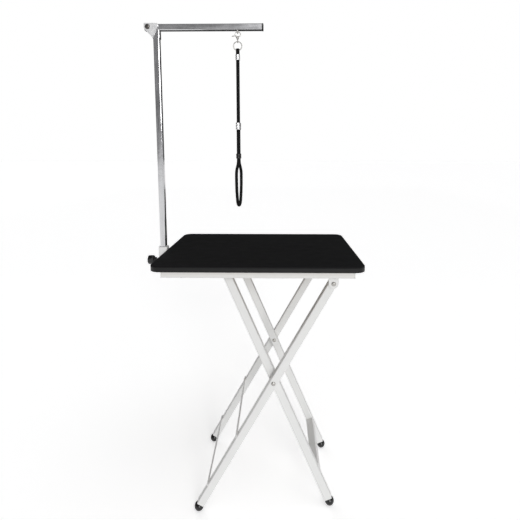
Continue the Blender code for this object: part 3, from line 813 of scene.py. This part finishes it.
def make_gate(nose):
    """The hook's sprung gate, from the bow's nose past the pivot to a thicker thumb lever."""
    tip = nose + Vector((-0.0004, 0, -0.0022))
    root = GATE_PIVOT + Vector((-0.0030, 0, 0.0020))
    lever = [
        tip,
        tip.lerp(root, 0.5),
        root,
        GATE_PIVOT + Vector((-0.0062, 0, 0.0010)),
        GATE_PIVOT + Vector((-0.0100, 0, 0.0003)),
        GATE_PIVOT + Vector((-0.0130, 0, 0.0004)),
    ]
    route = smooth_route(lever, 0.0006)
    wire, round_end, thumb = 0.0011, 0.0002, 0.0006
    ends = [cos(pi * i / (len(route) - 1)) for i in range(len(route))]
    sizes = [wire - round_end * end**8 + thumb * max(0.0, -end) ** 2 for end in ends]
    points, faces = skin(tube_rings(route, sizes, 14))
    piece("thumb_gate", points, faces, "gate", "zinc_steel", ("snap_gate",))


def make_swivel():
    """The eye under the hook, which turns on its stem."""
    low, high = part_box("swivel_eye")
    radius, wire = 0.0046, 0.0013
    eye = Vector((NOOSE.x, 0, low[2] + radius + wire))
    turns = [2 * pi * i / 40 for i in range(40)]
    path = [eye + radius * Vector((0, cos(t), sin(t))) for t in turns]
    top = high[2]
    sunk = wire * 0.4
    stem_foot = eye.z + radius - sunk
    stem = [
        (0.0030, 0.0),
        (0.0036, 0.0003),
        (0.0036, 0.0009),
        (0.0025, 0.0014),
        (0.0022, 0.0022),
        (0.0024, top - stem_foot),
    ]
    groups = [
        (tube_rings(path, wire, loop=True), True),
        (turned_rings(stem, Vector((NOOSE.x, 0, top)), Vector((0, 0, -1)), 28), False),
    ]
    points, faces = skins(groups)
    piece("swivel_casting", points, faces, "swivel", "zinc_steel", ("swivel_eye",))


def make_ring():
    """The ring between the swivel's eye and the noose."""
    turns = [2 * pi * i / 72 for i in range(72)]
    path = [RING + RING_RADIUS * Vector((cos(t), 0, sin(t))) for t in turns]
    points, faces = skin(tube_rings(path, RING_WIRE, loop=True), True)
    piece("welded_ring", points, faces, "noose", "zinc_steel", ("noose_ring",))


def make_staple():
    """A wire bent to a U, up into the arm's underside."""
    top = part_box("noose_staple")[1][2]
    half = 0.0055
    bend = 0.0026
    steps = 8
    route = [Vector((NOOSE.x, -half, top))]
    for side, start in ((-1, 180), (1, 270)):
        for i in range(steps + 1):
            turn = radians(start + 90 * i / steps)
            y = side * (half - bend) + bend * cos(turn)
            route.append(Vector((NOOSE.x, y, STAPLE_Z + bend + bend * sin(turn))))
    route.append(Vector((NOOSE.x, half, top)))
    points, faces = skin(tube_rings(route, STAPLE_WIRE))
    piece("bent_staple", points, faces, "arm", "zinc_steel", ("noose_staple",))


def braid(strands, height, pitch):
    """The relief of a round braid: diamonds where two sets of strands cross."""

    def at(distance, turn):
        along = pi * distance / pitch
        cross = abs(sin(along + strands * turn / 2) * sin(along - strands * turn / 2))
        return -height * (1 - cross**0.5)

    return at


def cord_piece(name, route, radius, replaced):
    """A braided cord along a route, as (object, the path of its middle)."""
    path = smooth_route(route, 0.0009)
    rings = tube_rings(path, radius, 32, relief_at=braid(8, 0.00042, 0.0036))
    points, faces = skin(rings)
    obj = piece(name, points, faces, "noose", "black_cord", replaced, crease=180.0)
    return obj, path


def make_end_loop():
    """The cord's end, doubled round the ring and into the upper ferrule."""
    wire = Vector((NOOSE.x, 0, RING.z - RING_RADIUS))
    radius = 0.0023
    clear = 0.0002
    bend = RING_WIRE + radius + clear
    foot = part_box("upper_ferrule")[1][2] - 0.0015
    shoulder = foot + 0.004
    foot_half, shoulder_half = 0.0028, 0.0032
    turns = [pi * i / 16 for i in range(17)]
    over = [wire + bend * Vector((0, cos(t), sin(t))) for t in turns]
    route = [
        Vector((NOOSE.x, foot_half, foot)),
        Vector((NOOSE.x, shoulder_half, shoulder)),
        *over,
        Vector((NOOSE.x, -shoulder_half, shoulder)),
        Vector((NOOSE.x, -foot_half, foot)),
    ]
    path = smooth_route(route, 0.0006)
    rings = tube_rings(path, radius, 32, relief_at=braid(8, 0.00025, 0.0026))
    flat = 2.45
    rings = [[Vector((NOOSE.x + flat * (p.x - NOOSE.x), p.y, p.z)) for p in r] for r in rings]
    points, faces = skin(rings)
    return piece("noose_end_loop", points, faces, "noose", "black_cord", (), crease=180.0)


def grooves(tall, places, depth, wide, steps):
    """Profile points of rounded grooves, each round a share of the height."""
    return [
        (-depth * sin(pi * step / steps) ** 2, tall * place + wide * (step / steps - 0.5))
        for place in places
        for step in range(steps + 1)
    ]


def sleeve(name, node, profile, outline, steps, body, slot):
    """A sleeve round the noose: (inset, height) carried round an outline of (radius, apart)."""
    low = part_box(node)[0]
    radius, apart = outline
    rings = [
        [noose_place(x, y, low[2] + z) for x, y in stadium(radius + inset, apart, steps)]
        for inset, z in profile
    ]
    points, faces = skin(rings)
    return piece(name, points, faces, body, slot, (node,), crease=50.0)


def height_of(node):
    low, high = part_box(node)
    return high[2] - low[2]


def make_ferrule(node, apart):
    """A crimped sleeve: rounded lips and two pressed grooves."""
    tall = height_of(node)
    profile = [
        (-0.0010, 0.0),
        (-0.0003, 0.0004),
        (0.0, 0.0012),
        *grooves(tall, (0.30, 0.66), 0.0006, 0.0030, 8),
        (0.0, tall - 0.0012),
        (-0.0003, tall - 0.0004),
        (-0.0010, tall),
    ]
    outline = (FERRULE_RADIUS, apart)
    return sleeve(f"crimped_{node}", node, profile, outline, 14, "noose", "ferrule")


def make_slider():
    """A moulded cord lock: rounded ends and three finger grooves."""
    node = "noose_slider"
    tall = height_of(node)
    profile = [
        (-0.0028, 0.0),
        (-0.0012, 0.0004),
        (-0.0003, 0.0014),
        (0.0, 0.0028),
        *grooves(tall, (0.32, 0.50, 0.68), 0.0007, 0.0026, 6),
        (0.0, tall - 0.0028),
        (-0.0003, tall - 0.0014),
        (-0.0012, tall - 0.0004),
        (-0.0028, tall),
    ]
    return sleeve("cord_lock", node, profile, SLIDER_OUTLINE, 16, "slider", "black_plastic")


def make_noose():
    """The cord from the ring, its loop, their ferrules and the cord lock."""
    upper = make_ferrule("upper_ferrule", UPPER_FERRULE_APART)
    lower = make_ferrule("lower_ferrule", LOOP_APART)
    lock = make_slider()
    end_loop = make_end_loop()

    low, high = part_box("noose_cord")
    inside_ferrule = 0.0040
    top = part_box("upper_ferrule")[1][2] - inside_ferrule
    count = 16
    route = [Vector((NOOSE.x, 0, top + (low[2] - top) * i / count)) for i in range(count + 1)]
    cord, path = cord_piece("noose_line", route, CORD_RADIUS, ("noose_cord",))

    half = [noose_place(x, 0.0, z) for x, z in LOOP_ROUTE]
    other = [noose_place(-x, 0.0, z) for x, z in reversed(LOOP_ROUTE[:-1])]
    route = [*half, *other]
    loop, path = cord_piece("noose_loop_line", route, LOOP_RADIUS, ("noose_loop",))


def weld(name, corners, body, radius, loop=True):
    """A weld bead with its ripples, along straight runs between corners."""
    step = 0.0007
    ripple_height = 0.00022
    ripple_pitch = 0.0021
    path = []
    ends = [*corners, corners[0]] if loop else corners
    for here, there in zip(ends, ends[1:]):
        count = max(2, round((there - here).length / step))
        path += [here.lerp(there, i / count) for i in range(count)]
    if not loop:
        path.append(ends[-1])

    def ripple(distance, _turn):
        return ripple_height * abs(sin(pi * distance / ripple_pitch))

    points, faces = skin(tube_rings(path, radius, 10, loop, ripple), loop)
    piece(name, points, faces, body, "white_coat", (), crease=60.0)


def make_strap_welds():
    """Beads along both long edges of each flat bar, on the outer legs."""
    down = (OUTER_FOOT - HINGE).normalized()
    out = Vector((down.z, 0, -down.x))
    bead = 0.0009
    lift = 0.0004
    end_gap = 0.003
    outside = OUTER_Y + LEG_SIDE / 2 - end_gap
    inside = OUTER_Y - LEG_SIDE / 2 + end_gap
    for number, along in enumerate(STRAP_PLACES):
        for edge, edge_name in ((-1, "up"), (1, "down")):
            centre = HINGE + down * (along + edge * STRAP_WELDS_APART / 2)
            centre += out * (LEG_SIDE / 2 + lift)
            for side, side_name in ((-1, "near"), (1, "far")):
                ends = [centre + Vector((0, side * y, 0)) for y in (inside, outside)]
                name = f"strap_weld_{number}_{edge_name}_{side_name}"
                weld(name, ends, "outer_frame", bead, loop=False)


def make_brace_welds():
    """A bead round each end of the square tube between the inner legs."""
    bead = 0.0011
    down = (INNER_FOOT - CROSS).normalized()
    across = Vector((down.z, 0, -down.x))
    centre = CROSS + down * BRACE_PLACE
    inset = 0.0004
    half = LEG_SIDE / 2 - inset
    for side, side_name in ((-1, "near"), (1, "far")):
        y = side * (INNER_Y - LEG_SIDE / 2 - bead)
        corners = [
            centre + half * (a * across + b * down) + Vector((0, y, 0))
            for a, b in ((1, 1), (-1, 1), (-1, -1), (1, -1))
        ]
        weld(f"brace_weld_{side_name}", corners, "inner_frame", bead)


def make_bracket_welds():
    """A bead round each end of the bracket between the arm's socket and the cross rail."""
    bead = 0.0009
    low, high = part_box("socket_bracket")
    outline = ((low[1], low[2]), (high[1], low[2]), (high[1], high[2]), (low[1], high[2]))
    for x, name in ((low[0] + bead, "socket"), (high[0] - bead, "rail")):
        corners = [Vector((x, y, z)) for y, z in outline]
        weld(f"bracket_weld_{name}", corners, "table_top", bead)


def make_rail_screws():
    """Pan-head screws up through each long rail into the board."""
    head = [(0.0042, 0.0), (0.0044, 0.0004), (0.0042, 0.0012), (0.0034, 0.0020), (0.0020, 0.0025)]
    sunk = 0.0001
    shares = (0.10, 0.37, 0.63, 0.90)
    for where in ("front", "back"):
        low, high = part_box(f"rail_{where}")
        y = (low[1] + high[1]) / 2
        for number, share in enumerate(shares, 1):
            place = Vector((low[0] + share * (high[0] - low[0]), y, low[2] - sunk))
            points, faces = skin(turned_rings(head, place, Vector((0, 0, -1)), 28))
            name = f"rail_screw_{where}_{number}"
            piece(name, points, faces, "table_top", "zinc_steel")


make_camera()
make_lamps()
make_studio()
make_floor()
make_flag()
dress_frame()
make_noose()
make_mat()
make_feet()
make_knob()
make_clamp_screw()
hook_nose = make_hook()
make_gate(hook_nose)
make_swivel()
make_ring()
make_staple()
make_strap_welds()
make_brace_welds()
make_bracket_welds()
make_rail_screws()
